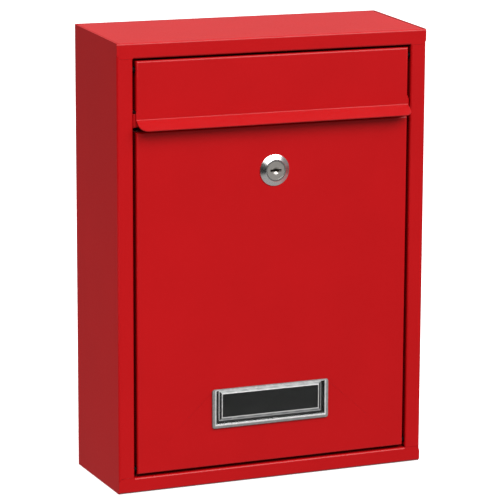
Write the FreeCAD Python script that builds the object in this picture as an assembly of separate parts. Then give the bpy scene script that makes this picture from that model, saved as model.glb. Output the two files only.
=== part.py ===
import FreeCAD, Part
import math
import os

# Wall letterbox of folded sheet steel: a casing, a mail flap over the slot, a bottom-hinged
# door below it with a cam lock and a name holder.
# Millimetres. X runs to the right, Y from the front to the wall, Z up. The origin is the
# centre of the flat underside, so the front plane is y = -CASE_DEPTH / 2.

Vector = FreeCAD.Vector
AXIS_X = Vector(1, 0, 0)
AXIS_Y = Vector(0, 1, 0)
AXIS_Z = Vector(0, 0, 1)
NEAR = 0.01
BEYOND = 5.0

# Sheet and seams
SHEET = 0.8
BEND = 0.8
SEAM = 0.1
FOLD = SHEET + BEND

# Casing
CASE_WIDTH = 236.0
CASE_DEPTH = 87.0
CASE_HEIGHT = 320.0
ROOF_RISE = 4.0
JAMB = 11.8
HEAD = 11.0
SILL = 11.0
FRAME_RETURN = 10.0
RETURN_RELIEF = 1.4
WELD_FLANGE = 11.0
HEAD_CHAMFER = 2.6
SILL_INNER_CORNER = 4.0
SILL_OUTER_CORNER = 2.0
WALL_HOLE_RADIUS = 3.5
WALL_HOLE_SIDE_INSET = 43.0
WALL_HOLE_END_INSET = 45.0

# Gaps round the two leaves
SIDE_GAP = 2.2
FLAP_TOP_GAP = 1.6
DOOR_BOTTOM_GAP = 2.2

# Mail slot rail
RAIL_BELOW_TOP = 58.8
RAIL_FACE = 9.3
RAIL_BEHIND_LEAVES = 0.5
RAIL_SHELF = 20.8
RAIL_HOOK = 13.4
RAIL_END = 3.0

# Flap
FLAP_RETURN = 8.0
FLAP_FLANGE_OVER_RAIL = 2.0
LIP_FOLD_DROP = 4.2
LIP_OUT = 10.0
LIP_DROP = 6.0
LIP_CORNER = 6.0
FLAP_AXIS_DROP = 6.1

# Door
DOOR_RETURN = 10.0
DOOR_UNDER_RAIL = 3.5
CORNER_SLOT = 0.5

# Hinge pins
PIN_RADIUS = 1.6
PIN_HEAD_OVERHANG = 0.7
PIN_HEAD = 1.0
PIN_HEAD_OVER_RETURN = 0.2
PIN_HEAD_BEHIND_FRONT = 0.9
PIN_PLAY = 0.2
PIN_TAIL = 1.8
PIN_CHAMFER = 0.2
RUNNING_CLEARANCE = 0.05

# Lock
LOCK_BELOW_DOOR_TOP = 32.6
LOCK_BODY_RADIUS = 9.0
LOCK_HEAD_OVERHANG = 2.2
LOCK_RIM = 0.5
LOCK_PROUD = 3.0
LOCK_RING_WIDTH = 1.15
LOCK_RING_BEVEL = 0.3
LOCK_FLATS = 16.0
THREAD_PITCH = 1.25
THREAD_DEPTH = 0.45
PLUG_RADIUS = 6.0
PLUG_HEAD_OVERHANG = 0.7
PLUG_SHOULDER = 2.0
PLUG_SUNK = 0.35
KEYWAY_WIDTH = 8.7
KEYWAY_HEIGHT = 1.7
KEYWAY_INNER_WIDTH = 7.0
KEYWAY_MOUTH = 1.6
KEYWAY_HUMP_RADIUS = 1.4
KEYWAY_HUMP_RISE = 0.5
KEYWAY_WARD_WIDTH = 1.0
KEYWAY_WARD_OFFSET = 1.6
KEYWAY_WARD_DROP = 0.7
KEYWAY_LENGTH = 14.0
DIMPLE_RADIUS = 2.6
DIMPLE_DEPTH = 0.9
WAFER_COUNT = 4
WAFER_PITCH = 2.4
WAFER_START = 1.6
WAFER_THICKNESS = 0.8
WAFER_HALF_WIDTH = 5.2
WAFER_HALF_HEIGHT = 2.7
WAFER_WINDOW_HALF_WIDTH = 3.5
WAFER_WINDOW_HALF_HEIGHT = 0.9
WAFER_LUG = 1.0
WAFER_LUG_RISE = 1.6
WAFER_CLEARANCE = 0.1
SPRING_COIL_RADIUS = 0.6
SPRING_WIRE_RADIUS = 0.12
SPRING_TURNS = 5
SPRING_REACH = 2.5
BROACH_DEPTH = 1.0
CAM_BEHIND_RAIL = 0.7
CAM_THICKNESS = 1.8
CAM_ENGAGEMENT = 6.3
CAM_EYE_RADIUS = 9.0
CAM_TIP_HALF_WIDTH = 6.0
CAM_TIP_CORNER = 2.0
CAM_RUN = 0.2
DRIVE_SQUARE = 7.0
DRIVE_CLEARANCE = 0.1
NUT_WALL = 2.0
NUT_HEIGHT = 4.0
WASHER_OVERHANG = 3.2
WASHER_HEIGHT = 0.9
WASHER_TEETH = 16
WASHER_NOTCH = 1.3
SCREW_RADIUS = 2.0
SCREW_LENGTH = 8.0
SCREW_HEAD_RADIUS = 3.8
SCREW_TOP_RADIUS = 2.3
SCREW_HEAD = 2.4
SCREW_HEAD_RIM = 0.8
SCREW_RECESS = 1.3
SCREW_RECESS_WIDTH = 0.9
CAM_WASHER_RADIUS = 4.6
CAM_WASHER_HEIGHT = 1.0
SPLIT_WIDTH = 0.7

# Name holder
PLATE_WIDTH = 90.4
PLATE_HEIGHT = 28.7
PLATE_BOTTOM = 27.8
PLATE_SHIFT = -2.2
PLATE_THICKNESS = 1.6
PLATE_CORNER = 1.8
PLATE_EDGE = 0.35
PANE_WIDTH = 77.3
PANE_HEIGHT = 22.3
PANE_BELOW_TOP = 1.0
PANE_PROUD = 0.5
PANE_CORNER = 0.8
POCKET_WIDTH = 84.4
POCKET_HEIGHT = 23.4
POCKET_DEPTH = 0.6
CARD_CLEARANCE = 0.2
CARD_THICKNESS = 0.4
PEG_RADIUS = 1.0
PEG_INSET = 1.4
PEG_HEAD_RADIUS = 1.35
PEG_HEAD = 0.7
PEG_CLEARANCE = 0.1

# Places that follow from the sizes above
FRONT = -CASE_DEPTH / 2
BACK = CASE_DEPTH / 2
SIDE = CASE_WIDTH / 2
INSIDE = SIDE - SHEET
OPENING = SIDE - JAMB
LEAF = OPENING - SIDE_GAP
HEAD_EDGE = CASE_HEIGHT - HEAD
PIN_HEAD_RADIUS = PIN_RADIUS + PIN_HEAD_OVERHANG
PIN_Y = FRONT + SHEET + PIN_HEAD_BEHIND_FRONT + PIN_HEAD_RADIUS
RAIL_BOTTOM = CASE_HEIGHT - RAIL_BELOW_TOP
RAIL_TOP = RAIL_BOTTOM + RAIL_FACE
RAIL_FRONT = FRONT + SHEET + RAIL_BEHIND_LEAVES
FLAP_TOP = HEAD_EDGE - FLAP_TOP_GAP
FLAP_AXIS_Z = FLAP_TOP - FLAP_AXIS_DROP
FLAP_FLANGE_BOTTOM = RAIL_TOP + FLAP_FLANGE_OVER_RAIL
LIP_FOLD = RAIL_TOP - LIP_FOLD_DROP
DOOR_BOTTOM = SILL + DOOR_BOTTOM_GAP
DOOR_TOP = RAIL_BOTTOM - DOOR_UNDER_RAIL
DOOR_AXIS_Z = DOOR_BOTTOM + SHEET + PIN_HEAD_OVER_RETURN + PIN_HEAD_RADIUS
DOOR_BACK = FRONT + SHEET
LOCK_Z = DOOR_TOP - LOCK_BELOW_DOOR_TOP
LOCK_HEAD_RADIUS = LOCK_BODY_RADIUS + LOCK_HEAD_OVERHANG
PLUG_HEAD_RADIUS = PLUG_RADIUS + PLUG_HEAD_OVERHANG
LOCK_RING_RADIUS = PLUG_HEAD_RADIUS + RUNNING_CLEARANCE + LOCK_RING_WIDTH
NUT_FLATS = 2 * (LOCK_BODY_RADIUS + NUT_WALL)
WASHER_RADIUS = LOCK_BODY_RADIUS + WASHER_OVERHANG
CAM_REACH = LOCK_BELOW_DOOR_TOP + DOOR_UNDER_RAIL + CAM_ENGAGEMENT
CAM_Y = RAIL_FRONT + RAIL_HOOK + CAM_BEHIND_RAIL
HOUSING_END = CAM_Y - CAM_RUN
NUT_Y = DOOR_BACK + WASHER_HEIGHT
CAM_WASHER_Y = CAM_Y + CAM_THICKNESS
SCREW_HEAD_Y = CAM_WASHER_Y + CAM_WASHER_HEIGHT
PLATE_Z = DOOR_BOTTOM + PLATE_BOTTOM


def box(low_x, high_x, low_y, high_y, low_z, high_z):
    """A block between six planes."""
    size = (high_x - low_x, high_y - low_y, high_z - low_z)
    return Part.makeBox(*size, Vector(low_x, low_y, low_z))


def side_point(y, z):
    """A point of an outline drawn as seen from the side."""
    return Vector(0, y, z)


def plan_point(x, y):
    """A point of an outline drawn as seen from above."""
    return Vector(x, y, 0)


def front_point(x, z):
    """A point of an outline drawn as seen from the front."""
    return Vector(x, 0, z)


def rounded_path(points, radii):
    """Edges along the points, each inner point replaced by an arc of its radius."""
    edges = []
    start = points[0]
    for before, corner, after, radius in zip(points, points[1:], points[2:], radii):
        arrive = (corner - before).normalize()
        leave = (after - corner).normalize()
        half_turn = arrive.getAngle(leave) / 2
        bisector = (leave - arrive).normalize()
        centre = corner + bisector * (radius / math.cos(half_turn))
        arc_start = corner - arrive * (radius * math.tan(half_turn))
        arc_end = corner + leave * (radius * math.tan(half_turn))
        edges.append(Part.LineSegment(start, arc_start).toShape())
        edges.append(Part.Arc(arc_start, centre - bisector * radius, arc_end).toShape())
        start = arc_end
    edges.append(Part.LineSegment(start, points[-1]).toShape())
    return edges


def folded_sheet(points, normal, start, run):
    """A folded sheet. The points are the corners of its outer faces, the metal lies on the side
    of normal x direction, and the section at start is pushed along run."""
    directions = [(end - begin).normalize() for begin, end in zip(points, points[1:])]
    inward = [normal.cross(direction) for direction in directions]
    inner = [points[0] + inward[0] * SHEET]
    outer_radii = []
    inner_radii = []
    for index in range(1, len(points) - 1):
        first = inward[index - 1]
        second = inward[index]
        inner.append(points[index] + (first + second) * (SHEET / (1 + first.dot(second))))
        turns_in = normal.dot(directions[index - 1].cross(directions[index])) > 0
        outer_radii.append(FOLD if turns_in else BEND)
        inner_radii.append(BEND if turns_in else FOLD)
    inner.append(points[-1] + inward[-1] * SHEET)
    edges = rounded_path(points, outer_radii)
    edges.append(Part.LineSegment(points[-1], inner[-1]).toShape())
    edges.extend(rounded_path(inner, inner_radii))
    edges.append(Part.LineSegment(inner[0], points[0]).toShape())
    face = Part.Face(Part.Wire(Part.__sortEdges__(edges)))
    face.translate(start)
    return face.extrude(run)


def across(points, normal, half_width):
    """A folded sheet drawn from the side and pushed from -half_width to half_width."""
    return folded_sheet(points, normal, AXIS_X * -half_width, AXIS_X * (2 * half_width))


def prism(points, run):
    """A solid with a flat outline of straight edges."""
    return Part.Face(Part.makePolygon(points + points[:1])).extrude(run)


def edges_between(shape, accepts, longest=math.inf):
    """The edges no longer than longest whose two ends both satisfy accepts."""
    return [edge for edge in shape.Edges
            if edge.Length < longest and all(accepts(vertex.Point) for vertex in edge.Vertexes)]


def turned(profile, centre):
    """A solid of revolution about the Y direction. The profile is a list of (radius, y)."""
    points = [Vector(centre.x + radius, y, centre.z) for radius, y in profile]
    face = Part.Face(Part.makePolygon(points + points[:1]))
    return face.revolve(Vector(centre.x, 0, centre.z), AXIS_Y, 360)


def drilled(shape, radius, centre, direction, length):
    """The shape with a round hole."""
    return shape.cut(Part.makeCylinder(radius, length, centre, direction))


def roof_height(y):
    """Height of the roof's outer face, which climbs from the front to the wall."""
    return CASE_HEIGHT + ROOF_RISE * (y - FRONT) / CASE_DEPTH


def flange_room(edge_z, end_z, corner):
    """The room for a panel's front flange from edge_z to end_z, less its two corners at edge_z."""
    beside = edge_z + math.copysign(corner, end_z - edge_z)
    room = prism([
        front_point(-SIDE, end_z),
        front_point(-SIDE, beside),
        front_point(-SIDE + corner, edge_z),
        front_point(SIDE - corner, edge_z),
        front_point(SIDE, beside),
        front_point(SIDE, end_z),
    ], AXIS_Y * (SHEET + SEAM))
    room.translate(AXIS_Y * FRONT)
    return room


def casing_shell():
    """Back wall, side walls, side front flanges and their returns, folded from one sheet."""
    outline = [
        plan_point(-OPENING, FRONT + FRAME_RETURN),
        plan_point(-OPENING, FRONT),
        plan_point(-SIDE, FRONT),
        plan_point(-SIDE, BACK),
        plan_point(SIDE, BACK),
        plan_point(SIDE, FRONT),
        plan_point(OPENING, FRONT),
        plan_point(OPENING, FRONT + FRAME_RETURN),
    ]
    height = CASE_HEIGHT + ROOF_RISE
    shell = folded_sheet(outline, -AXIS_Z, Vector(), AXIS_Z * height)

    above_roof = prism([
        side_point(FRONT - BEYOND, roof_height(FRONT - BEYOND)),
        side_point(BACK + BEYOND, roof_height(BACK + BEYOND)),
        side_point(BACK + BEYOND, height + BEYOND),
        side_point(FRONT - BEYOND, height + BEYOND),
    ], AXIS_X * CASE_WIDTH)
    above_roof.translate(AXIS_X * -SIDE)
    shell = shell.cut(above_roof)

    # The side flanges stop where the roof's and the floor's front flanges cross them, and their
    # returns stop a little earlier. They fill the room left by the corners of those flanges.
    flange_back = FRONT + SHEET + SEAM
    return_back = FRONT + FRAME_RETURN + BEYOND
    head = HEAD_EDGE - SEAM
    sill = SILL + SEAM
    sill_corner = SILL_INNER_CORNER * (2 - math.sqrt(2))
    for edge_z, end_z, return_z, corner in (
            (head, height, head - RETURN_RELIEF, HEAD_CHAMFER),
            (sill, 0.0, sill + RETURN_RELIEF, sill_corner)):
        shell = shell.cut(flange_room(edge_z, end_z, corner))
        low, high = sorted((edge_z, end_z))
        shell = shell.cut(box(-INSIDE, INSIDE, flange_back, return_back, low, high))
        low, high = sorted((return_z, end_z))
        shell = shell.cut(box(-OPENING - FOLD, OPENING + FOLD, FRONT + FOLD, return_back,
                              low, high))

    for side in (-1, 1):
        for pin_z in (FLAP_AXIS_Z, DOOR_AXIS_Z):
            start = Vector(side * (OPENING - SIDE_GAP), PIN_Y, pin_z)
            shell = drilled(shell, PIN_RADIUS + RUNNING_CLEARANCE, start, AXIS_X * side,
                            SIDE_GAP + SHEET + SIDE_GAP)
        for hole_z in (WALL_HOLE_END_INSET, CASE_HEIGHT - WALL_HOLE_END_INSET):
            start = Vector(side * (SIDE - WALL_HOLE_SIDE_INSET), BACK - SHEET - BEYOND, hole_z)
            shell = drilled(shell, WALL_HOLE_RADIUS, start, AXIS_Y, SHEET + 2 * BEYOND)
    return shell


def end_panel(flange, rise):
    """Roof or floor sheet with a front flange as wide as the casing, drawn as a roof whose front
    top edge is at the origin. The flange has a return behind it between the side flanges, and
    the sheet has weld flanges against the side walls and the back wall."""
    slope = math.atan2(rise, CASE_DEPTH)
    back = CASE_DEPTH - SHEET
    back_height = back * math.tan(slope)
    flat = INSIDE - FOLD

    sheet = across([
        side_point(0, -flange + FOLD),
        side_point(0, 0),
        side_point(back, back_height),
        side_point(back, back_height - WELD_FLANGE),
    ], -AXIS_X, flat)

    fascia = across([
        side_point(0, -flange),
        side_point(0, 0),
        side_point(back, back_height),
    ], -AXIS_X, SIDE).common(box(-SIDE, SIDE, 0, SHEET, -flange, SHEET))
    fascia = fascia.cut(box(-OPENING + SEAM, OPENING - SEAM, 0, SHEET, -flange, -flange + FOLD))

    lower = across([
        side_point(FRAME_RETURN, -flange),
        side_point(0, -flange),
        side_point(0, -flange + FOLD + BEND),
    ], -AXIS_X, OPENING - SEAM)

    run = back / math.cos(slope) - 2 * FOLD
    cover = folded_sheet([
        front_point(-INSIDE, -WELD_FLANGE),
        front_point(-INSIDE, 0),
        front_point(INSIDE, 0),
        front_point(INSIDE, -WELD_FLANGE),
    ], AXIS_Y, AXIS_Y * FOLD, AXIS_Y * run)
    cover.rotate(Vector(), AXIS_X, math.degrees(slope))
    # The side weld flanges start behind the front flange's return.
    cover = cover.cut(box(-SIDE, SIDE, 0, FRAME_RETURN + FOLD, -flange - WELD_FLANGE, -FOLD))
    return sheet.fuse([fascia, lower, cover]).removeSplitter()


def flange_corners(panel, z):
    """The short edges at the two ends of a panel's front flange, at one height."""
    return edges_between(panel, lambda p: abs(abs(p.x) - SIDE) < NEAR and abs(p.z - z) < NEAR,
                         longest=FOLD)


def top_panel():
    """Roof sheet. The lower corners of its front flange are chamfered."""
    panel = end_panel(HEAD, ROOF_RISE)
    panel = panel.makeChamfer(HEAD_CHAMFER, flange_corners(panel, -HEAD))
    panel.translate(Vector(0, FRONT, CASE_HEIGHT))
    return panel


def bottom_panel():
    """Floor sheet: the same fold turned over, level, with rounded flange corners."""
    panel = end_panel(SILL, 0.0)
    panel = panel.makeFillet(SILL_INNER_CORNER, flange_corners(panel, -SILL))
    square = box(-SIDE, SIDE, 0, SHEET, -SILL, 0)
    rounded = square.makeFillet(SILL_OUTER_CORNER, flange_corners(square, 0))
    panel = panel.cut(square.cut(rounded))
    panel.rotate(Vector(), AXIS_Y, 180)
    panel.translate(Vector(0, FRONT, 0))
    return panel


def cross_rail():
    """Folded rail under the mail slot. Its top is the slot's sill, the lock's cam hooks behind
    its lower flange, and its ends turn back as tabs along the side returns."""
    channel = across([
        side_point(RAIL_FRONT + RAIL_HOOK, RAIL_BOTTOM),
        side_point(RAIL_FRONT, RAIL_BOTTOM),
        side_point(RAIL_FRONT, RAIL_TOP),
        side_point(RAIL_FRONT + RAIL_SHELF, RAIL_TOP),
    ], -AXIS_X, OPENING - RAIL_END)
    tab_back = FRONT + FRAME_RETURN
    tabs = folded_sheet([
        plan_point(-OPENING, tab_back),
        plan_point(-OPENING, RAIL_FRONT),
        plan_point(OPENING, RAIL_FRONT),
        plan_point(OPENING, tab_back),
    ], AXIS_Z, AXIS_Z * RAIL_BOTTOM, AXIS_Z * RAIL_FACE)
    middle = OPENING - RAIL_END
    tabs = tabs.cut(box(-middle, middle, FRONT, tab_back, RAIL_BOTTOM, RAIL_TOP))
    return channel.fuse(tabs).removeSplitter()


def fold_front(block, radius, front_y, closed_below):
    """The block with its front edges rounded. The lower one stays sharp if the leaf is open
    there."""
    edges = edges_between(block, lambda p: abs(p.y - front_y) < NEAR)
    open_z = -math.inf if closed_below else block.BoundBox.ZMin + NEAR
    return block.makeFillet(radius, [edge for edge in edges if edge.CenterOfMass.z > open_z])


def folded_pan(low_z, high_z, depth, closed_below):
    """A leaf: a flat front with returns folded back along its edges, slotted at the corners."""
    outer = box(-LEAF, LEAF, FRONT, FRONT + depth, low_z, high_z)
    inner_low = low_z + SHEET if closed_below else low_z - BEYOND
    inner = box(-LEAF + SHEET, LEAF - SHEET, DOOR_BACK, FRONT + depth + BEYOND,
                inner_low, high_z - SHEET)

    outer = fold_front(outer, FOLD, FRONT, closed_below)
    inner = fold_front(inner, BEND, DOOR_BACK, closed_below)
    pan = outer.cut(inner)
    levels = [(high_z - SHEET, high_z)]
    if closed_below:
        levels.append((low_z, low_z + SHEET))
    slot_edge = LEAF - SHEET
    for low, high in levels:
        for side in (-1, 1):
            ends = sorted((side * slot_edge, side * (slot_edge - CORNER_SLOT)))
            pan = pan.cut(box(ends[0], ends[1], FRONT + FOLD, FRONT + depth, low, high))
    return pan


def with_pin_holes(leaf, axis_z):
    """The leaf with the holes that its two hinge pins are riveted into."""
    start = Vector(-LEAF - BEYOND, PIN_Y, axis_z)
    return drilled(leaf, PIN_RADIUS, start, AXIS_X, 2 * (LEAF + BEYOND))


def flap():
    """Mail flap: returns along its top and sides, and a lip folded out along its bottom."""
    pan = folded_pan(FLAP_FLANGE_BOTTOM, FLAP_TOP, FLAP_RETURN, False)
    lip_edge = side_point(FRONT - LIP_OUT, LIP_FOLD - LIP_DROP)
    lower = across([
        side_point(FRONT, FLAP_FLANGE_BOTTOM),
        side_point(FRONT, LIP_FOLD),
        lip_edge,
    ], AXIS_X, LEAF)
    corners = edges_between(lower, lambda p: abs(abs(p.x) - LEAF) < NEAR
                            and p.distanceToPoint(Vector(p.x, lip_edge.y, lip_edge.z)) < FOLD,
                            longest=FOLD)
    lower = lower.makeFillet(LIP_CORNER, corners)
    return with_pin_holes(pan.fuse(lower).removeSplitter(), FLAP_AXIS_Z)


def double_d(radius, flats, low_y, high_y):
    """A round bar with two flats, upright ones, centred on the lock."""
    bar = Part.makeCylinder(radius, high_y - low_y, Vector(0, low_y, LOCK_Z), AXIS_Y)
    return bar.common(box(-flats / 2, flats / 2, low_y, high_y, LOCK_Z - radius, LOCK_Z + radius))


def peg_centres():
    """Where the name holder's four pegs stand, as (x, z)."""
    half = PLATE_WIDTH / 2 - PEG_INSET
    low = PLATE_Z + PEG_INSET
    high = PLATE_Z + PLATE_HEIGHT - PEG_INSET
    return [(PLATE_SHIFT + side * half, z) for side in (-1, 1) for z in (low, high)]


def door():
    """Door pan with the holes for its pins, the lock and the name holder's pegs."""
    leaf = folded_pan(DOOR_BOTTOM, DOOR_TOP, DOOR_RETURN, True)
    leaf = with_pin_holes(leaf, DOOR_AXIS_Z)
    leaf = leaf.cut(double_d(LOCK_BODY_RADIUS + SEAM, LOCK_FLATS + 2 * SEAM,
                             FRONT - BEYOND, DOOR_BACK + BEYOND))
    for x, z in peg_centres():
        leaf = drilled(leaf, PEG_RADIUS + PEG_CLEARANCE, Vector(x, FRONT - BEYOND, z), AXIS_Y,
                       SHEET + 2 * BEYOND)
    return leaf


def hinge_pin(side, axis_z):
    """Shoulder rivet. Its journal runs in the casing's side return, its shoulder keeps the side
    gap, and its tail is headed over inside the leaf."""
    inside_leaf = LEAF - SHEET
    shoulder_end = OPENING - PIN_PLAY
    journal_end = OPENING + SHEET + PIN_TAIL
    profile = [
        (inside_leaf - PIN_HEAD, 0),
        (inside_leaf - PIN_HEAD, PIN_RADIUS),
        (inside_leaf - PIN_HEAD / 2, PIN_HEAD_RADIUS),
        (inside_leaf, PIN_HEAD_RADIUS),
        (inside_leaf, PIN_RADIUS),
        (LEAF, PIN_RADIUS),
        (LEAF, PIN_HEAD_RADIUS),
        (shoulder_end, PIN_HEAD_RADIUS),
        (shoulder_end, PIN_RADIUS),
        (journal_end - PIN_CHAMFER, PIN_RADIUS),
        (journal_end, PIN_RADIUS - PIN_CHAMFER),
        (journal_end, 0),
    ]
    points = [Vector(side * x, PIN_Y, axis_z + radius) for x, radius in profile]
    face = Part.Face(Part.makePolygon(points + points[:1]))
    return face.revolve(Vector(0, PIN_Y, axis_z), AXIS_X, 360)


def lock_housing():
    """Conical head over the door's face and a threaded body with two flats behind it. The thread
    is a row of rings, and two broached grooves beside the bore take the wafers' ends."""
    ring_y = FRONT - LOCK_PROUD
    centre = Vector(0, 0, LOCK_Z)
    bore = PLUG_RADIUS + RUNNING_CLEARANCE
    counterbore = PLUG_HEAD_RADIUS + RUNNING_CLEARANCE
    shoulder_y = ring_y + PLUG_SUNK + PLUG_SHOULDER + RUNNING_CLEARANCE
    head = turned([
        (counterbore, shoulder_y),
        (counterbore, ring_y),
        (LOCK_RING_RADIUS - LOCK_RING_BEVEL, ring_y),
        (LOCK_RING_RADIUS, ring_y + LOCK_RING_BEVEL),
        (LOCK_HEAD_RADIUS, FRONT - LOCK_RIM),
        (LOCK_HEAD_RADIUS, FRONT),
        (bore, FRONT),
        (bore, shoulder_y),
    ], centre)

    profile = [(bore, FRONT), (LOCK_BODY_RADIUS, FRONT)]
    turns = int((HOUSING_END - DOOR_BACK) / THREAD_PITCH)
    for turn in range(turns):
        crest = DOOR_BACK + turn * THREAD_PITCH
        profile.append((LOCK_BODY_RADIUS, crest))
        profile.append((LOCK_BODY_RADIUS - THREAD_DEPTH, crest + THREAD_PITCH / 2))
    profile.append((LOCK_BODY_RADIUS, DOOR_BACK + turns * THREAD_PITCH))
    profile.append((LOCK_BODY_RADIUS, HOUSING_END))
    profile.append((bore, HOUSING_END))
    body = turned(profile, centre)
    body = body.common(double_d(LOCK_HEAD_RADIUS, LOCK_FLATS, FRONT, HOUSING_END))
    housing = head.fuse(body).removeSplitter()

    reach = bore + BROACH_DEPTH
    half = WAFER_HALF_HEIGHT + WAFER_CLEARANCE
    last = WAFER_START + WAFER_COUNT * WAFER_PITCH
    broach = box(-reach, reach, FRONT + WAFER_START - WAFER_PITCH / 2, FRONT + last,
                 LOCK_Z - half, LOCK_Z + half)
    return housing.cut(broach)


def wafer_centre(index):
    """Middle plane of one wafer."""
    return FRONT + WAFER_START + index * WAFER_PITCH


def spring_axis_z():
    """Height of the wafer springs' axes, in the pockets over the wafers."""
    return LOCK_Z + WAFER_HALF_HEIGHT + WAFER_CLEARANCE + WAFER_LUG_RISE / 2


def lock_plug():
    """Plug with a keyway that has a hump over its middle and a ward groove under it, a round
    dimple at its mouth, wafer slots, spring pockets, and a square end with the cam screw's hole."""
    face_y = FRONT - LOCK_PROUD + PLUG_SUNK
    shoulder_y = face_y + PLUG_SHOULDER
    plug = turned([
        (0, face_y),
        (PLUG_HEAD_RADIUS, face_y),
        (PLUG_HEAD_RADIUS, shoulder_y),
        (PLUG_RADIUS, shoulder_y),
        (PLUG_RADIUS, CAM_Y),
        (0, CAM_Y),
    ], Vector(0, 0, LOCK_Z))
    half_square = DRIVE_SQUARE / 2
    plug = plug.fuse(box(-half_square, half_square, CAM_Y - SEAM, CAM_WASHER_Y - SEAM,
                         LOCK_Z - half_square, LOCK_Z + half_square))
    low = LOCK_Z - KEYWAY_HEIGHT / 2
    high = LOCK_Z + KEYWAY_HEIGHT / 2
    plug = plug.cut(box(-KEYWAY_WIDTH / 2, KEYWAY_WIDTH / 2, face_y, face_y + KEYWAY_MOUTH,
                        low, high))
    plug = plug.cut(box(-KEYWAY_INNER_WIDTH / 2, KEYWAY_INNER_WIDTH / 2, face_y,
                        face_y + KEYWAY_LENGTH, low, high))
    plug = plug.cut(Part.makeCylinder(KEYWAY_HUMP_RADIUS, KEYWAY_MOUTH,
                                      Vector(0, face_y, LOCK_Z + KEYWAY_HUMP_RISE), AXIS_Y))
    ward = KEYWAY_WARD_WIDTH / 2
    plug = plug.cut(box(KEYWAY_WARD_OFFSET - ward, KEYWAY_WARD_OFFSET + ward, face_y,
                        face_y + KEYWAY_MOUTH, low - KEYWAY_WARD_DROP, LOCK_Z))
    plug = plug.cut(Part.makeCone(DIMPLE_RADIUS, KEYWAY_HEIGHT / 2, DIMPLE_DEPTH,
                                  Vector(0, face_y, LOCK_Z), AXIS_Y))

    half_slot = WAFER_THICKNESS / 2 + WAFER_CLEARANCE
    half_height = WAFER_HALF_HEIGHT + WAFER_CLEARANCE
    pocket_half = SPRING_COIL_RADIUS + SPRING_WIRE_RADIUS + WAFER_CLEARANCE
    pocket_top = LOCK_Z + half_height + WAFER_LUG_RISE + WAFER_CLEARANCE
    pocket_end = SPRING_REACH + WAFER_LUG
    for index in range(WAFER_COUNT):
        y = wafer_centre(index)
        plug = plug.cut(box(-PLUG_RADIUS, PLUG_RADIUS, y - half_slot, y + half_slot,
                            LOCK_Z - half_height, LOCK_Z + half_height))
        plug = plug.cut(box(-SPRING_REACH - WAFER_CLEARANCE, pocket_end + WAFER_CLEARANCE,
                            y - pocket_half, y + pocket_half, LOCK_Z, pocket_top))
    return drilled(plug, SCREW_RADIUS, Vector(0, CAM_WASHER_Y, LOCK_Z), -AXIS_Y,
                   SCREW_LENGTH - CAM_WASHER_HEIGHT + SEAM)


def lock_wafers():
    """Flat wafers with a window for the key, and a lug that its spring pushes."""
    wafers = []
    half = WAFER_THICKNESS / 2
    lug_top = LOCK_Z + WAFER_HALF_HEIGHT + WAFER_LUG_RISE
    for index in range(WAFER_COUNT):
        y = wafer_centre(index)
        plate = box(-WAFER_HALF_WIDTH, WAFER_HALF_WIDTH, y - half, y + half,
                    LOCK_Z - WAFER_HALF_HEIGHT, LOCK_Z + WAFER_HALF_HEIGHT)
        lug = box(SPRING_REACH, SPRING_REACH + WAFER_LUG, y - half, y + half, LOCK_Z, lug_top)
        window = box(-WAFER_WINDOW_HALF_WIDTH, WAFER_WINDOW_HALF_WIDTH, y - half, y + half,
                     LOCK_Z - WAFER_WINDOW_HALF_HEIGHT, LOCK_Z + WAFER_WINDOW_HALF_HEIGHT)
        wafers.append(plate.fuse(lug).cut(window).removeSplitter())
    return Part.makeCompound(wafers)


def lock_wafer_springs():
    """One small coil spring for each wafer, lying along its pocket."""
    springs = []
    length = 2 * SPRING_REACH - 2 * SPRING_WIRE_RADIUS
    for index in range(WAFER_COUNT):
        path = Part.makeHelix(length / SPRING_TURNS, length, SPRING_COIL_RADIUS)
        section = Part.Wire(Part.makeCircle(SPRING_WIRE_RADIUS, Vector(SPRING_COIL_RADIUS, 0, 0),
                                            AXIS_Y))
        coil = Part.Wire(path.Edges).makePipeShell([section], True, True)
        coil.rotate(Vector(), AXIS_Y, 90)
        coil.translate(Vector(-length / 2, wafer_centre(index), spring_axis_z()))
        springs.append(coil)
    return Part.makeCompound(springs)


def hexagon(flats, low_y, high_y):
    """A hexagonal block centred on the lock."""
    radius = flats / math.sqrt(3)
    points = []
    for corner in range(6):
        angle = math.radians(60 * corner)
        points.append(Vector(radius * math.cos(angle), low_y, LOCK_Z + radius * math.sin(angle)))
    return prism(points, AXIS_Y * (high_y - low_y))


def lock_nut():
    """Hexagonal nut that clamps the lock, with its corners bevelled at the back."""
    end = NUT_Y + NUT_HEIGHT
    radius = NUT_FLATS / math.sqrt(3)
    bevel = radius - NUT_FLATS / 2
    bore = LOCK_BODY_RADIUS + RUNNING_CLEARANCE
    blank = turned([
        (bore, NUT_Y),
        (radius, NUT_Y),
        (radius, end - bevel / 2),
        (NUT_FLATS / 2, end),
        (bore, end),
    ], Vector(0, 0, LOCK_Z))
    return blank.common(hexagon(NUT_FLATS, NUT_Y, end))


def lock_washer():
    """Toothed washer between the door and the nut."""
    bore = LOCK_BODY_RADIUS + RUNNING_CLEARANCE
    washer = turned([
        (bore, DOOR_BACK),
        (WASHER_RADIUS, DOOR_BACK),
        (WASHER_RADIUS, NUT_Y),
        (bore, NUT_Y),
    ], Vector(0, 0, LOCK_Z))
    half = WASHER_NOTCH / 2
    for tooth in range(WASHER_TEETH):
        notch = box(WASHER_RADIUS - WASHER_NOTCH, WASHER_RADIUS + WASHER_NOTCH,
                    DOOR_BACK, NUT_Y, LOCK_Z - half, LOCK_Z + half)
        notch.rotate(Vector(0, 0, LOCK_Z), AXIS_Y, 360 * tooth / WASHER_TEETH)
        washer = washer.cut(notch)
    return washer


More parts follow.
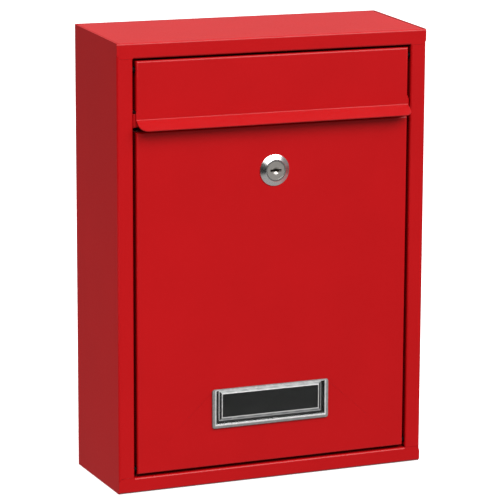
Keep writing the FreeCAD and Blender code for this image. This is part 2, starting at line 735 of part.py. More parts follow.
def lock_cam():
    """Flat cam on the plug's square end. It points to the right when the door is free."""
    eye = Part.makeCylinder(CAM_EYE_RADIUS, CAM_THICKNESS, Vector(0, CAM_Y, LOCK_Z), AXIS_Y)
    arm = prism([
        Vector(0, CAM_Y, LOCK_Z - CAM_EYE_RADIUS),
        Vector(CAM_REACH, CAM_Y, LOCK_Z - CAM_TIP_HALF_WIDTH),
        Vector(CAM_REACH, CAM_Y, LOCK_Z + CAM_TIP_HALF_WIDTH),
        Vector(0, CAM_Y, LOCK_Z + CAM_EYE_RADIUS),
    ], AXIS_Y * CAM_THICKNESS)
    tip = edges_between(arm, lambda p: p.x > CAM_REACH - NEAR, longest=CAM_THICKNESS + NEAR)
    arm = arm.makeFillet(CAM_TIP_CORNER, tip)
    half = DRIVE_SQUARE / 2 + DRIVE_CLEARANCE
    square = box(-half, half, CAM_Y, CAM_WASHER_Y, LOCK_Z - half, LOCK_Z + half)
    return eye.fuse(arm).removeSplitter().cut(square)


def cam_washer():
    """Split spring washer under the cam screw's head."""
    washer = turned([
        (SCREW_RADIUS + RUNNING_CLEARANCE, CAM_WASHER_Y),
        (CAM_WASHER_RADIUS, CAM_WASHER_Y),
        (CAM_WASHER_RADIUS, SCREW_HEAD_Y),
        (SCREW_RADIUS + RUNNING_CLEARANCE, SCREW_HEAD_Y),
    ], Vector(0, 0, LOCK_Z))
    return washer.cut(box(-SPLIT_WIDTH / 2, SPLIT_WIDTH / 2, CAM_WASHER_Y, SCREW_HEAD_Y,
                          LOCK_Z, LOCK_Z + CAM_WASHER_RADIUS))


def cam_screw():
    """Cross-head screw that holds the cam on the plug."""
    end = SCREW_HEAD_Y + SCREW_HEAD
    screw = turned([
        (0, SCREW_HEAD_Y - SCREW_LENGTH),
        (SCREW_RADIUS - RUNNING_CLEARANCE, SCREW_HEAD_Y - SCREW_LENGTH),
        (SCREW_RADIUS - RUNNING_CLEARANCE, SCREW_HEAD_Y),
        (SCREW_HEAD_RADIUS, SCREW_HEAD_Y),
        (SCREW_HEAD_RADIUS, SCREW_HEAD_Y + SCREW_HEAD_RIM),
        (SCREW_TOP_RADIUS, end),
        (0, end),
    ], Vector(0, 0, LOCK_Z))
    long = SCREW_TOP_RADIUS
    half = SCREW_RECESS_WIDTH / 2
    floor = end - SCREW_RECESS
    screw = screw.cut(box(-long, long, floor, end, LOCK_Z - half, LOCK_Z + half))
    return screw.cut(box(-half, half, floor, end, LOCK_Z - long, LOCK_Z + long))


def rounded_plate(width, height, low_z, low_y, high_y, corner):
    """An upright plate with rounded corners, centred across the name holder."""
    plate = box(PLATE_SHIFT - width / 2, PLATE_SHIFT + width / 2, low_y, high_y,
                low_z, low_z + height)
    corners = [edge for edge in plate.Edges if abs(edge.Length - (high_y - low_y)) < NEAR]
    return plate.makeFillet(corner, corners)


def nameplate_window():
    """Clear name holder: a plate with a raised pane, a shallow pocket for the card behind it and
    four pegs headed over inside the door."""
    face_y = FRONT - PLATE_THICKNESS
    plate = rounded_plate(PLATE_WIDTH, PLATE_HEIGHT, PLATE_Z, face_y, FRONT, PLATE_CORNER)
    rim = [edge for edge in plate.Edges if abs(edge.BoundBox.YMax - face_y) < NEAR]
    plate = plate.makeChamfer(PLATE_EDGE, rim)
    pane_z = PLATE_Z + PLATE_HEIGHT - PANE_BELOW_TOP - PANE_HEIGHT
    pane_y = face_y - PANE_PROUD
    pane = rounded_plate(PANE_WIDTH, PANE_HEIGHT, pane_z, pane_y, FRONT - POCKET_DEPTH, PANE_CORNER)
    rim = [edge for edge in pane.Edges if abs(edge.BoundBox.YMax - pane_y) < NEAR]
    pane = pane.makeChamfer(PLATE_EDGE, rim)
    window = plate.fuse(pane)
    half = POCKET_WIDTH / 2
    pocket_z = PLATE_Z + (PLATE_HEIGHT - POCKET_HEIGHT) / 2
    window = window.cut(box(PLATE_SHIFT - half, PLATE_SHIFT + half, FRONT - POCKET_DEPTH, FRONT,
                            pocket_z, pocket_z + POCKET_HEIGHT))
    for x, z in peg_centres():
        root = FRONT - POCKET_DEPTH
        shank = Part.makeCylinder(PEG_RADIUS, DOOR_BACK + SEAM - root, Vector(x, root, z), AXIS_Y)
        head = Part.makeCone(PEG_HEAD_RADIUS, PEG_RADIUS, PEG_HEAD, Vector(x, DOOR_BACK + SEAM, z),
                             AXIS_Y)
        window = window.fuse([shank, head])
    return window.removeSplitter()


def nameplate_card():
    """Plain card in the holder's pocket."""
    width = POCKET_WIDTH - 2 * CARD_CLEARANCE
    height = POCKET_HEIGHT - 2 * CARD_CLEARANCE
    low_z = PLATE_Z + (PLATE_HEIGHT - height) / 2
    middle = FRONT - POCKET_DEPTH / 2
    return box(PLATE_SHIFT - width / 2, PLATE_SHIFT + width / 2, middle - CARD_THICKNESS / 2,
               middle + CARD_THICKNESS / 2, low_z, low_z + height)


NODES = {
    "casing_shell": casing_shell(),
    "top_panel": top_panel(),
    "bottom_panel": bottom_panel(),
    "cross_rail": cross_rail(),
    "flap": flap(),
    "flap_pin_left": hinge_pin(-1, FLAP_AXIS_Z),
    "flap_pin_right": hinge_pin(1, FLAP_AXIS_Z),
    "door": door(),
    "door_pin_left": hinge_pin(-1, DOOR_AXIS_Z),
    "door_pin_right": hinge_pin(1, DOOR_AXIS_Z),
    "lock_housing": lock_housing(),
    "lock_washer": lock_washer(),
    "lock_nut": lock_nut(),
    "lock_plug": lock_plug(),
    "lock_wafers": lock_wafers(),
    "lock_wafer_springs": lock_wafer_springs(),
    "lock_cam": lock_cam(),
    "cam_washer": cam_washer(),
    "cam_screw": cam_screw(),
    "nameplate_window": nameplate_window(),
    "nameplate_card": nameplate_card(),
}

os.makedirs("parts", exist_ok=True)
for name, shape in NODES.items():
    shape.exportStep("parts/" + name + ".step")
    print(name, "solids", len(shape.Solids), "valid", shape.isValid(), "volume", round(shape.Volume))
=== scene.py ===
import math

import bmesh
import bpy
from mathutils import Matrix, Vector


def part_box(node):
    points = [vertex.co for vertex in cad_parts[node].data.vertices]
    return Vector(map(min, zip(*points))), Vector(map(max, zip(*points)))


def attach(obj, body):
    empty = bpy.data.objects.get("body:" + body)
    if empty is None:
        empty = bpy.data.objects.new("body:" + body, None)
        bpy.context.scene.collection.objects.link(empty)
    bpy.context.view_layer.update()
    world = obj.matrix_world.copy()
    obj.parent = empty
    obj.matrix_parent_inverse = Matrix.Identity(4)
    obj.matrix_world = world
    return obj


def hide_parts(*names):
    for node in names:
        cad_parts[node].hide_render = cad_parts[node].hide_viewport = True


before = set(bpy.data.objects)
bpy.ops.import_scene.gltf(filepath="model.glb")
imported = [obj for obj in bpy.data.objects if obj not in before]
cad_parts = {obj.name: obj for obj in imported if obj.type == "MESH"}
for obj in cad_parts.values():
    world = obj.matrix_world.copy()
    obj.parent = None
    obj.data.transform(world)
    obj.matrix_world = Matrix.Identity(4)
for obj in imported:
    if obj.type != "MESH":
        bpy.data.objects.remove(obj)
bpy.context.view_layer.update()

MM = 0.001

# Driving measures of the camera and the light.
CAMERA_AIM_HEIGHT = 159.2 * MM
CAMERA_AZIMUTH = 23.05
CAMERA_ELEVATION = 11.555
CAMERA_ROLL = -0.236
CAMERA_DISTANCE = 1.991
CAMERA_LENS = 197.74
CAMERA_SENSOR = 36.0

SOFTBOX_AZIMUTH = 14.0
SOFTBOX_ELEVATION = 41.0
SOFTBOX_DISTANCE = 4.0
SOFTBOX_WIDTH = 5.6
SOFTBOX_HEIGHT = 2.3
SOFTBOX_POWER = 221.0
LEFT_STRIP_AZIMUTH = -80.0
LEFT_STRIP_ELEVATION = -10.0
LEFT_STRIP_DISTANCE = 0.55
LEFT_STRIP_LENGTH = 1.2
LEFT_STRIP_HEIGHT = 0.08
LEFT_STRIP_POWER = 1.4
BACK_FILL_AZIMUTH = 170.0
BACK_FILL_ELEVATION = 50.0
BACK_FILL_STRENGTH = 2.6
FILL_ANGLE = 60.0

FLOOR_HALF = 14.0
FLOOR_DROP = 0.2 * MM
FLOOR_TONE = 0.74
FLOOR_GLOW = 0.45
FLOOR_UNEVEN = 1.01
FLOOR_SHADE_SCALE = 3
FLOOR_ROUGHNESS = 0.9
FLOOR_GLOSS = 0.1

# How bright the room is round the object, straight down first and straight up last.
ROOM_DOWN = 0.42
ROOM_BELOW_LEVEL = 0.12
ROOM_LEVEL = 0.25
ROOM_UP = 0.70
ROOM_DOWN_TO = -0.40
ROOM_LEVEL_FROM = -0.30
HORIZON = 0.02
ROOM_LEVEL_TO = 0.40
ROOM_UP_FROM = 0.75
# The dim corner of the room that the polished lock mirrors.
DIM_AZIMUTH = -48.0
DIM_ELEVATION = 6.0
DIM_INNER = 24.0
DIM_OUTER = 38.0
DIM_SHARE = 0.12

# The coat's gloss, and how dark its painted shade in gaps gets: full in spots less open than
# the first share of GAP_OPENNESS, none in spots more open than the second.
COAT_ROUGHNESS = (0.30, 0.37)
COAT_GLOSS = 0.36
GAP_REACH = 4.0 * MM
# How far the painted shade reaches in the lock's hollows: the keyway and the ring round the plug.
LOCK_SHADE_REACH = 1.6 * MM
GAP_OPENNESS = (0.15, 0.5)
GAP_SAMPLES = 8
DRIFT_SHARE = 0.6
# The part of its range that a noise really fills, and how fine each one is, in features a metre.
NOISE_LOW = 0.3
NOISE_HIGH = 0.7
DRIFT_SCALE = 22
SPECKLE_SCALE = 900
PEEL_SCALE = 420
GRAIN_SCALE = 1500
STAIN_SCALE = 260
SCRATCH_SCALE = 2600
TURNED_SCALE = 5200
WAVE_SCALE = 160
DUST_SCALE = 2400
CLOUD_SCALE = 700
FIBRE_SCALE = 1900
FIBRE_CONTRAST = 1.25
# Bumps, each as a strength and a depth.
PEEL_BUMP = (0.25, 0.04 * MM)
GRAIN_BUMP = (0.2, 0.02 * MM)
SCRATCH_BUMP = (0.12, 0.01 * MM)
TURNED_DEPTH = 0.01 * MM
WAVE_BUMP = (0.15, 0.05 * MM)
CLOUD_BUMP = (0.3, 0.05 * MM)
FIBRE_BUMP = (0.35, 0.03 * MM)
# How rough the plastics and the card are, from the glossiest spot to the dullest.
CLEAR_ROUGHNESS = (0.03, 0.10)
MILKY_ROUGHNESS = (0.14, 0.28)
CARD_ROUGHNESS = (0.72, 0.9)
# The holder's plastic, and the flow lines in its bevel.
STYRENE_IOR = 1.49
MILKY_CLARITY = 0.25
FLOW_CONTRAST = 0.28
FLOW_LINES_PER_METRE = 55
FLOW_DISTORTION = 1.5
# How far apart two corners may be and still be one, how much the cut edges are eased, and how
# sharp an edge has to be for it.
SAME_CORNER = 0.002 * MM
SHEET_EDGE = 0.16 * MM
FITTING_EDGE = 0.12 * MM
PIN_EDGE = 0.08 * MM
SHARP_ANGLE = 35.0
EDGE_SEGMENTS = 2
FLAT_FACE_WEIGHT = 80

# Name holder: pairs of the width in from its edge and the height over the door, in mm. The rim's
# widths shrink to HOLDER_TOP_SHARE of themselves along the top. PANE_INSETS are the left, right,
# bottom and top edges of the raised pane. PANE_SLOPE is the band of its border that is clear at
# the sides.
HOLDER_CORNER = 1.8 * MM
HOLDER_LEAST_CORNER = 0.3 * MM
PANE_CORNER = 0.6 * MM
HOLDER_RIM = [(0.0, 0.0), (0.0, 1.0), (0.12, 1.32), (0.35, 1.5), (0.7, 1.56), (1.9, 1.56),
              (2.1, 1.66), (2.4, 1.70), (2.65, 1.62), (2.85, 1.35), (2.95, 1.0)]
HOLDER_BEAD_FROM = 5
PANE_INSETS = (4.8, 5.8, 5.5, 1.15)
HOLDER_TOP_SHARE = 0.37
PANE_BORDER = [(0.0, 1.0), (0.15, 1.22), (0.4, 1.35), (1.95, 1.9), (2.1, 2.04), (2.3, 2.1),
               (2.5, 2.04), (2.6, 2.0)]
PANE_SLOPE = 3
POCKET_INSET_X = 3.0
POCKET_INSET_Z = 2.65
POCKET_HEIGHT = 0.6
LOOP_STEPS = 6
# The pegs behind it, as pairs of a radius and a depth behind the door's front, in mm.
PEG_INSET = 1.4
PEG_STEPS = 20
PEG_OUTLINE = [(1.0, 0.0), (1.0, 0.82), (1.35, 0.86), (1.3, 1.2), (1.0, 1.6)]
# The holder's materials, in the order of its slots.
CLEAR, RIM, BEAD, BEVEL = range(4)

# Colours, in linear light.
RED = (0.480, 0.0022, 0.0042)
RED_DEEP = (0.462, 0.0019, 0.0037)
# The coat's painted shade in narrow gaps.
GAP_SHADE_RED = (0.06, 0.0005, 0.0008)
CHROME = (0.80, 0.79, 0.78)
NICKEL = (0.55, 0.52, 0.485)
SHADOW_METAL = (0.004, 0.004, 0.004)
BLACK_OXIDE = (0.010, 0.010, 0.010)
ZINC = (0.62, 0.62, 0.60)
BRASS = (0.78, 0.57, 0.25)
SPRING = (0.50, 0.50, 0.51)
CARD = (0.011, 0.012, 0.011)
PLASTIC = (0.93, 0.94, 0.95)
# The holder's edges: grey as painted reflection on the rim and bevel, near-white as a painted
# highlight on the bead.
PLASTIC_RIM_PAINTED_REFLECTION = (0.36, 0.35, 0.345)
PLASTIC_BEAD_PAINTED_HIGHLIGHT = (0.90, 0.89, 0.89)
PLASTIC_BEVEL_PAINTED_REFLECTION = (0.40, 0.41, 0.41)

HOUSING_LOW, HOUSING_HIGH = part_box("lock_housing")
LOCK_X = (HOUSING_LOW.x + HOUSING_HIGH.x) / 2
LOCK_Z = (HOUSING_LOW.z + HOUSING_HIGH.z) / 2
FACE_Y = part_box("door")[0].y


# ---- Materials ----

def new_material(name):
    """A node material with its shader, and object coordinates to texture it by."""
    material = bpy.data.materials.new(name)
    material.use_nodes = True
    nodes = material.node_tree.nodes
    shader = nodes["Principled BSDF"]
    coords = nodes.new("ShaderNodeTexCoord").outputs["Object"]
    return material, shader, coords


def link(material, source, target):
    material.node_tree.links.new(source, target)


def noise(material, coords, scale, detail=2.0, roughness=0.5):
    """Noise of a given number of features per metre."""
    node = material.node_tree.nodes.new("ShaderNodeTexNoise")
    node.inputs["Scale"].default_value = scale
    node.inputs["Detail"].default_value = detail
    node.inputs["Roughness"].default_value = roughness
    link(material, coords, node.inputs["Vector"])
    return node.outputs["Fac"]


def to_range(material, value, low, high, source_low=NOISE_LOW, source_high=NOISE_HIGH):
    """A value spread over a new range."""
    node = material.node_tree.nodes.new("ShaderNodeMapRange")
    node.inputs["From Min"].default_value = source_low
    node.inputs["From Max"].default_value = source_high
    node.inputs["To Min"].default_value = low
    node.inputs["To Max"].default_value = high
    link(material, value, node.inputs["Value"])
    return node.outputs["Result"]


def two_tone(material, value, first, second):
    """A colour between two by a value."""
    ramp = material.node_tree.nodes.new("ShaderNodeValToRGB")
    ramp.color_ramp.elements[0].color = (*first, 1)
    ramp.color_ramp.elements[1].color = (*second, 1)
    ramp.color_ramp.elements[0].position = NOISE_LOW
    ramp.color_ramp.elements[1].position = NOISE_HIGH
    link(material, value, ramp.inputs["Fac"])
    return ramp.outputs["Color"]


def painted_shade_in_gaps(material, color, gap_color, reach):
    """Painted shade: a colour that turns into another in narrow gaps and creases, where shade falls.
    """
    nodes = material.node_tree.nodes
    openness = nodes.new("ShaderNodeAmbientOcclusion")
    openness.samples = GAP_SAMPLES
    openness.inputs["Distance"].default_value = reach
    blend = nodes.new("ShaderNodeMix")
    blend.data_type = "RGBA"
    blend.inputs["A"].default_value = (*gap_color, 1)
    link(material, color, blend.inputs["B"])
    link(material, to_range(material, openness.outputs["AO"], 0.0, 1.0, *GAP_OPENNESS),
         blend.inputs["Factor"])
    return blend.outputs["Result"]


def add_bump(material, shader, heights):
    """Bumps stacked on each other. Each is (height value, strength, distance)."""
    normal = None
    for value, strength, distance in heights:
        bump = material.node_tree.nodes.new("ShaderNodeBump")
        bump.inputs["Strength"].default_value = strength
        bump.inputs["Distance"].default_value = distance
        link(material, value, bump.inputs["Height"])
        if normal is not None:
            link(material, normal, bump.inputs["Normal"])
        normal = bump.outputs["Normal"]
    link(material, normal, shader.inputs["Normal"])


def powder_coat():
    """Satin red powder coat: orange peel, fine speckle, a slow drift of tone, and painted shade in
    its gaps.
    """
    material, shader, coords = new_material("powder_coat_red")
    drift = noise(material, coords, DRIFT_SCALE, detail=3)
    speckle = noise(material, coords, SPECKLE_SCALE, detail=2)
    add = material.node_tree.nodes.new("ShaderNodeMath")
    add.operation = "ADD"
    link(material, to_range(material, drift, 0.0, DRIFT_SHARE), add.inputs[0])
    link(material, to_range(material, speckle, 0.0, 1 - DRIFT_SHARE), add.inputs[1])
    coat = two_tone(material, add.outputs[0], RED_DEEP, RED)
    # Painted shade: the coat darkens to a deep red in its narrow gaps.
    link(material, painted_shade_in_gaps(material, coat, GAP_SHADE_RED, GAP_REACH), shader.inputs["Base Color"])
    link(material, to_range(material, speckle, *COAT_ROUGHNESS), shader.inputs["Roughness"])
    shader.inputs["Specular IOR Level"].default_value = COAT_GLOSS
    peel = noise(material, coords, PEEL_SCALE, detail=1)
    grain = noise(material, coords, GRAIN_SCALE, detail=2)
    add_bump(material, shader, [(peel, *PEEL_BUMP), (grain, *GRAIN_BUMP)])
    return material


def ring_coords(material, coords):
    """Distance from the lock's axis, for marks that run round it."""
    nodes = material.node_tree.nodes
    shift = nodes.new("ShaderNodeVectorMath")
    shift.operation = "SUBTRACT"
    shift.inputs[1].default_value = (LOCK_X, 0, LOCK_Z)
    link(material, coords, shift.inputs[0])
    flat = nodes.new("ShaderNodeVectorMath")
    flat.operation = "MULTIPLY"
    flat.inputs[1].default_value = (1, 0, 1)
    link(material, shift.outputs[0], flat.inputs[0])
    length = nodes.new("ShaderNodeVectorMath")
    length.operation = "LENGTH"
    link(material, flat.outputs[0], length.inputs[0])
    return length.outputs["Value"]


def metal(name, color, roughness, spread, turned_marks=0.0, blotch=0.06, shade_reach=0.0):
    """Bare or plated metal: uneven gloss, faint stains, marks of turning round the lock, and, when
    a reach is given, painted shade in the gaps narrower than it."""
    material, shader, coords = new_material(name)
    shader.inputs["Metallic"].default_value = 1.0
    stains = noise(material, coords, STAIN_SCALE, detail=4, roughness=0.6)
    darker = tuple(channel * (1 - blotch) for channel in color)
    plate = two_tone(material, stains, darker, color)
    if shade_reach:
        # Painted shade: the metal turns near black in gaps and hollows.
        plate = painted_shade_in_gaps(material, plate, SHADOW_METAL, shade_reach)
    link(material, plate, shader.inputs["Base Color"])
    fine = noise(material, coords, SCRATCH_SCALE, detail=3)
    link(material, to_range(material, fine, roughness - spread, roughness + spread),
         shader.inputs["Roughness"])
    heights = [(fine, *SCRATCH_BUMP)]
    if turned_marks:
        radius = ring_coords(material, coords)
        rings = material.node_tree.nodes.new("ShaderNodeTexNoise")
        rings.noise_dimensions = "1D"
        rings.inputs["Scale"].default_value = TURNED_SCALE
        rings.inputs["Detail"].default_value = 3
        link(material, radius, rings.inputs["W"])
        heights.append((rings.outputs["Fac"], turned_marks, TURNED_DEPTH))
    add_bump(material, shader, heights)
    return material


def clear_plastic():
    """Clear moulded styrene, faintly uneven."""
    material, shader, coords = new_material("clear_plastic")
    shader.inputs["Transmission Weight"].default_value = 1.0
    shader.inputs["IOR"].default_value = STYRENE_IOR
    waves = noise(material, coords, WAVE_SCALE, detail=1)
    dust = noise(material, coords, DUST_SCALE, detail=2)
    link(material, two_tone(material, dust, PLASTIC, (1.0, 1.0, 1.0)), shader.inputs["Base Color"])
    link(material, to_range(material, dust, *CLEAR_ROUGHNESS), shader.inputs["Roughness"])
    add_bump(material, shader, [(waves, *WAVE_BUMP)])
    return material


def edge_plastic_painted_light(name, color, streak=0.0):
    """The holder's moulded edges, part clear, with their highlights and reflections painted into the
    colour, and faint flow lines.
    """
    material, shader, coords = new_material(name)
    shader.inputs["Transmission Weight"].default_value = MILKY_CLARITY
    shader.inputs["IOR"].default_value = STYRENE_IOR
    cloud = noise(material, coords, CLOUD_SCALE, detail=3)
    darker = tuple(channel * (1 - FLOW_CONTRAST) for channel in color)
    flow = cloud
    if streak:
        lines = material.node_tree.nodes.new("ShaderNodeTexWave")
        lines.bands_direction = "DIAGONAL"
        lines.inputs["Scale"].default_value = streak
        lines.inputs["Distortion"].default_value = FLOW_DISTORTION
        link(material, coords, lines.inputs["Vector"])
        flow = lines.outputs["Fac"]
    link(material, two_tone(material, flow, darker, color), shader.inputs["Base Color"])
    link(material, to_range(material, cloud, *MILKY_ROUGHNESS), shader.inputs["Roughness"])
    add_bump(material, shader, [(cloud, *CLOUD_BUMP)])
    return material


def card_stock():
    """Matt black card with paper fibre."""
    material, shader, coords = new_material("black_card")
    fibre = noise(material, coords, FIBRE_SCALE, detail=5, roughness=0.7)
    paler = tuple(channel * FIBRE_CONTRAST for channel in CARD)
    link(material, two_tone(material, fibre, CARD, paler), shader.inputs["Base Color"])
    link(material, to_range(material, fibre, *CARD_ROUGHNESS), shader.inputs["Roughness"])
    add_bump(material, shader, [(fibre, *FIBRE_BUMP)])
    return material


# ---- Carried CAD nodes ----

def dress(node, material, edge=0.0):
    """Gives a CAD node its finish, and eases its cut edges by edge."""
    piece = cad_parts[node]
    piece.data.materials[0] = material
    if not edge:
        return
    weld = piece.modifiers.new("weld", "WELD")
    weld.merge_threshold = SAME_CORNER
    bevel = piece.modifiers.new("eased_edges", "BEVEL")
    bevel.width = edge
    bevel.segments = EDGE_SEGMENTS
    bevel.limit_method = "ANGLE"
    bevel.angle_limit = math.radians(SHARP_ANGLE)
    bevel.use_clamp_overlap = True
    normals = piece.modifiers.new("flat_faces", "WEIGHTED_NORMAL")
    normals.keep_sharp = False
    normals.weight = FLAT_FACE_WEIGHT


def dress_all():
    red = powder_coat()
    zinc = metal("zinc_plate", ZINC, roughness=0.34, spread=0.08, blotch=0.12)
    chrome = metal("chrome_plate", CHROME, roughness=0.24, spread=0.05, turned_marks=0.10)
    # Painted shade: the satin nickel and the black oxide turn dark in their gaps.
    nickel = metal("satin_nickel", NICKEL, roughness=0.48, spread=0.06, turned_marks=0.25,
                   blotch=0.10, shade_reach=LOCK_SHADE_REACH)
    oxide = metal("black_oxide", BLACK_OXIDE, roughness=0.7, spread=0.08, blotch=0.2,
                  shade_reach=GAP_REACH)
    brass = metal("wafer_brass", BRASS, roughness=0.30, spread=0.08)
    spring = metal("spring_wire", SPRING, roughness=0.28, spread=0.06)
    for node in ("casing_shell", "top_panel", "bottom_panel", "cross_rail", "flap", "door"):
        dress(node, red, edge=SHEET_EDGE)
    for node in ("lock_washer", "lock_nut", "lock_cam", "cam_washer", "cam_screw"):
        dress(node, zinc, edge=FITTING_EDGE)
    for leaf in ("flap", "door"):
        for side in ("left", "right"):
            dress(leaf + "_pin_" + side, oxide, edge=PIN_EDGE)
    dress("lock_housing", chrome)
    dress("lock_plug", nickel)
    dress("lock_wafers", brass)
    dress("lock_wafer_springs", spring)
    dress("nameplate_card", card_stock())


# ---- Name holder ----

def rounded_loop(verts, low_x, high_x, low_z, high_z, radius, y):
    """A ring of new vertices along a rounded rectangle that faces the front."""
    ring = []
    corners = [(high_x - radius, high_z - radius, 0), (low_x + radius, high_z - radius, 90),
               (low_x + radius, low_z + radius, 180), (high_x - radius, low_z + radius, 270)]
    for centre_x, centre_z, start in corners:
        for step in range(LOOP_STEPS + 1):
            angle = math.radians(start + 90 * step / LOOP_STEPS)
            point = (centre_x + radius * math.cos(angle), y, centre_z + radius * math.sin(angle))
            ring.append(verts.new(point))
    return ring


def bridge(mesh, first, second, slot, side_slot):
    """A band of faces between two rings, with its own material slot for the upright sides."""
    for index in range(len(first)):
        following = (index + 1) % len(first)
        face = mesh.faces.new((first[index], first[following], second[following], second[index]))
        step = first[following].co - first[index].co
        face.material_index = side_slot if abs(step.z) > abs(step.x) else slot
        face.smooth = True


def holder_rings(mesh):
    """The holder's rings in order, from its pocket round its rim to its raised pane. Each comes
    with the material slots of the band that leads to it: along top and bottom, and at the sides."""
    low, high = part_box("nameplate_window")

    def plate_ring(side_inset, bottom_inset, top_inset, height):
        radius = max(HOLDER_CORNER - side_inset * MM, HOLDER_LEAST_CORNER)
        return rounded_loop(mesh.verts, low.x + side_inset * MM, high.x - side_inset * MM,
                            low.z + bottom_inset * MM, high.z - top_inset * MM, radius,
                            FACE_Y - height * MM)

    pocket = (POCKET_INSET_X, POCKET_INSET_Z, POCKET_INSET_Z)
    rings = [(plate_ring(*pocket, POCKET_HEIGHT), CLEAR, CLEAR),
             (plate_ring(*pocket, 0), RIM, RIM)]
    for index, (inset, height) in enumerate(HOLDER_RIM):
        ring = plate_ring(inset, inset, inset * HOLDER_TOP_SHARE, height)
        slot = BEAD if index > HOLDER_BEAD_FROM else RIM
        rings.append((ring, slot, slot))

    left, right, bottom, top = (inset * MM for inset in PANE_INSETS)
    for index, (inset, height) in enumerate(PANE_BORDER):
        step = inset * MM
        ring = rounded_loop(mesh.verts, low.x + left + step, high.x - right - step,
                            low.z + bottom + step, high.z - top - step, PANE_CORNER,
                            FACE_Y - height * MM)
        slot = CLEAR if index == 0 else BEVEL if index == PANE_SLOPE else BEAD
        rings.append((ring, slot, CLEAR if index == PANE_SLOPE else slot))
    return rings


def add_peg(mesh, x, z):
    """A headed peg behind the holder, as a closed turned form."""
    rings = []
    for radius, depth in PEG_OUTLINE:
        ring = []
        for step in range(PEG_STEPS):
            angle = math.tau * step / PEG_STEPS
            ring.append(mesh.verts.new((x + radius * MM * math.cos(angle), FACE_Y + depth * MM,
                                        z + radius * MM * math.sin(angle))))
        rings.append(ring)
    for first, second in zip(rings, rings[1:]):
        bridge(mesh, first, second, RIM, RIM)
    for ring in (rings[0], rings[-1]):
        mesh.faces.new(ring).material_index = RIM


def make_name_holder():
    """Clear moulded holder: milky rim with a bead, a sunk field over the card, and a raised pane
    with a bevelled border; the greys and whites of rim, bead and bevel are painted reflection and
    painted highlight."""
    mesh = bmesh.new()
    rings = holder_rings(mesh)
    for (first, *_), (second, slot, side_slot) in zip(rings, rings[1:]):
        bridge(mesh, first, second, slot, side_slot)
    for ring in (rings[0][0], rings[-1][0]):
        mesh.faces.new(ring)
    low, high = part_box("nameplate_window")
    inset = PEG_INSET * MM
    for x in (low.x + inset, high.x - inset):
        for z in (low.z + inset, high.z - inset):
            add_peg(mesh, x, z)
    bmesh.ops.recalc_face_normals(mesh, faces=mesh.faces)
    data = bpy.data.meshes.new("nameplate_holder")
    mesh.to_mesh(data)
    mesh.free()
    # The rim and bevel take painted reflection, the bead a painted highlight.
    for material in (clear_plastic(), edge_plastic_painted_light("plastic_rim_painted_reflection", PLASTIC_RIM_PAINTED_REFLECTION),
                     edge_plastic_painted_light("plastic_bead_painted_highlight", PLASTIC_BEAD_PAINTED_HIGHLIGHT),
                     edge_plastic_painted_light("plastic_bevel_painted_reflection", PLASTIC_BEVEL_PAINTED_REFLECTION, FLOW_LINES_PER_METRE)):
        data.materials.append(material)
    holder = bpy.data.objects.new("nameplate_holder", data)
    bpy.context.scene.collection.objects.link(holder)
    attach(holder, "door")
    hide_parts("nameplate_window")


# ---- Stage, light and camera ----

def make_floor():
    """Plain pale floor."""
    mesh = bpy.data.meshes.new("floor")
    half = FLOOR_HALF
    corners = [(-half, -half, -FLOOR_DROP), (half, -half, -FLOOR_DROP),
               (half, half, -FLOOR_DROP), (-half, half, -FLOOR_DROP)]
    mesh.from_pydata(corners, [], [(0, 1, 2, 3)])
    floor = bpy.data.objects.new("floor", mesh)
    bpy.context.scene.collection.objects.link(floor)
    material, shader, coords = new_material("pale_floor")
    shade = noise(material, coords, FLOOR_SHADE_SCALE, detail=2)
    tones = [(tone, tone, tone) for tone in (FLOOR_TONE, FLOOR_TONE * FLOOR_UNEVEN)]
    link(material, two_tone(material, shade, *tones), shader.inputs["Base Color"])
    shader.inputs["Roughness"].default_value = FLOOR_ROUGHNESS
    shader.inputs["Specular IOR Level"].default_value = FLOOR_GLOSS
    shader.inputs["Emission Color"].default_value = (1, 1, 1, 1)
    shader.inputs["Emission Strength"].default_value = FLOOR_GLOW
    mesh.materials.append(material)
    floor.visible_glossy = False
    floor.visible_diffuse = False
    floor.visible_transmission = False


def towards(azimuth, elevation):
    """Unit vector from the object: azimuth 0 is straight in front, positive to the right."""
    a = math.radians(azimuth)
    e = math.radians(elevation)
    return Vector((math.sin(a) * math.cos(e), -math.cos(a) * math.cos(e), math.sin(e)))


def add_light(name, kind, azimuth, elevation, energy, distance=1.0):
    """A light that shines on the object from a direction."""
    light = bpy.data.lights.new(name, kind)
    light.energy = energy
    lamp = bpy.data.objects.new(name, light)
    bpy.context.scene.collection.objects.link(lamp)
    direction = towards(azimuth, elevation)
    lamp.location = Vector((0, 0, CAMERA_AIM_HEIGHT)) + direction * distance
    lamp.rotation_euler = direction.to_track_quat("Z", "Y").to_euler()
    return lamp


def make_lights():
    """A wide softbox over the front, a low strip on the left and a soft fill from behind."""
    softbox = add_light("softbox", "AREA", SOFTBOX_AZIMUTH, SOFTBOX_ELEVATION, SOFTBOX_POWER,
                        SOFTBOX_DISTANCE)
    softbox.data.shape = "RECTANGLE"
    softbox.data.size = SOFTBOX_WIDTH
    softbox.data.size_y = SOFTBOX_HEIGHT
    strip = add_light("left_strip", "AREA", LEFT_STRIP_AZIMUTH, LEFT_STRIP_ELEVATION,
                      LEFT_STRIP_POWER, LEFT_STRIP_DISTANCE)
    strip.data.shape = "RECTANGLE"
    strip.data.size = LEFT_STRIP_LENGTH
    strip.data.size_y = LEFT_STRIP_HEIGHT
    fill = add_light("back_fill", "SUN", BACK_FILL_AZIMUTH, BACK_FILL_ELEVATION,
                     BACK_FILL_STRENGTH)
    fill.data.angle = math.radians(FILL_ANGLE)
    for lamp in (strip, fill):
        lamp.visible_camera = False
        lamp.visible_glossy = False


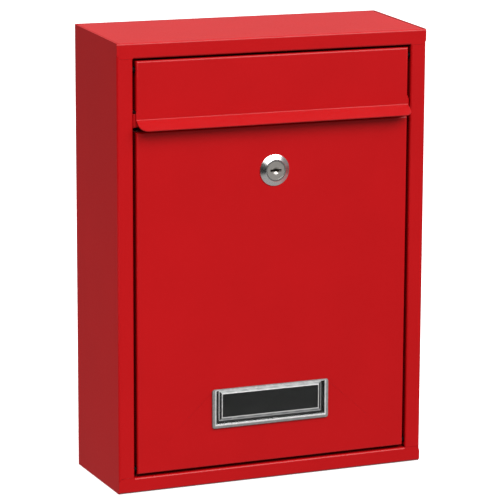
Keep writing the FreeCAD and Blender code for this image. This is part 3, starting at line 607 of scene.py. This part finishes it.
def make_world():
    """Soft room light: bright overhead, dim round the horizon, grey below, and one dim corner."""
    world = bpy.data.worlds.new("studio")
    world.use_nodes = True
    bpy.context.scene.world = world
    nodes = world.node_tree.nodes
    links = world.node_tree.links
    coords = nodes.new("ShaderNodeTexCoord")
    split = nodes.new("ShaderNodeSeparateXYZ")
    links.new(coords.outputs["Generated"], split.inputs[0])
    height = nodes.new("ShaderNodeMapRange")
    height.inputs["From Min"].default_value = -1
    links.new(split.outputs["Z"], height.inputs["Value"])
    shades = nodes.new("ShaderNodeValToRGB")
    stops = [(-1, ROOM_DOWN), (ROOM_DOWN_TO, ROOM_DOWN),
             (ROOM_LEVEL_FROM, ROOM_BELOW_LEVEL), (-HORIZON, ROOM_BELOW_LEVEL), (HORIZON, ROOM_LEVEL),
             (ROOM_LEVEL_TO, ROOM_LEVEL), (ROOM_UP_FROM, ROOM_UP), (1, ROOM_UP)]
    while len(shades.color_ramp.elements) < len(stops):
        shades.color_ramp.elements.new(0.5)
    for element, (upward, shade) in zip(shades.color_ramp.elements, stops):
        element.position = (upward + 1) / 2
        element.color = (shade, shade, shade, 1)
    links.new(height.outputs["Result"], shades.inputs["Fac"])

    corner = nodes.new("ShaderNodeVectorMath")
    corner.operation = "DOT_PRODUCT"
    corner.inputs[1].default_value = towards(DIM_AZIMUTH, DIM_ELEVATION)
    links.new(coords.outputs["Generated"], corner.inputs[0])
    dim = nodes.new("ShaderNodeMapRange")
    dim.inputs["From Min"].default_value = math.cos(math.radians(DIM_OUTER))
    dim.inputs["From Max"].default_value = math.cos(math.radians(DIM_INNER))
    dim.inputs["To Min"].default_value = 1.0
    dim.inputs["To Max"].default_value = DIM_SHARE
    links.new(corner.outputs["Value"], dim.inputs["Value"])
    links.new(shades.outputs["Color"], nodes["Background"].inputs["Color"])
    links.new(dim.outputs["Result"], nodes["Background"].inputs["Strength"])


def make_camera():
    """The viewing angle: from the left of the front, a little above."""
    azimuth = math.radians(CAMERA_AZIMUTH)
    outward = towards(-CAMERA_AZIMUTH, CAMERA_ELEVATION)
    right = Vector((math.cos(azimuth), -math.sin(azimuth), 0))
    up = outward.cross(right)
    roll = math.radians(CAMERA_ROLL)
    rolled_right = right * math.cos(roll) - up * math.sin(roll)
    rolled_up = outward.cross(rolled_right)
    camera = bpy.data.objects.new("camera", bpy.data.cameras.new("camera"))
    bpy.context.scene.collection.objects.link(camera)
    camera.data.lens = CAMERA_LENS
    camera.data.sensor_width = CAMERA_SENSOR
    turn = Matrix((rolled_right, rolled_up, outward)).transposed().to_4x4()
    place = Vector((0, 0, CAMERA_AIM_HEIGHT)) + outward * CAMERA_DISTANCE
    camera.matrix_world = Matrix.Translation(place) @ turn
    bpy.context.scene.camera = camera


make_camera()
dress_all()
make_name_holder()
make_floor()
make_lights()
make_world()
bpy.context.scene.view_settings.view_transform = "Standard"
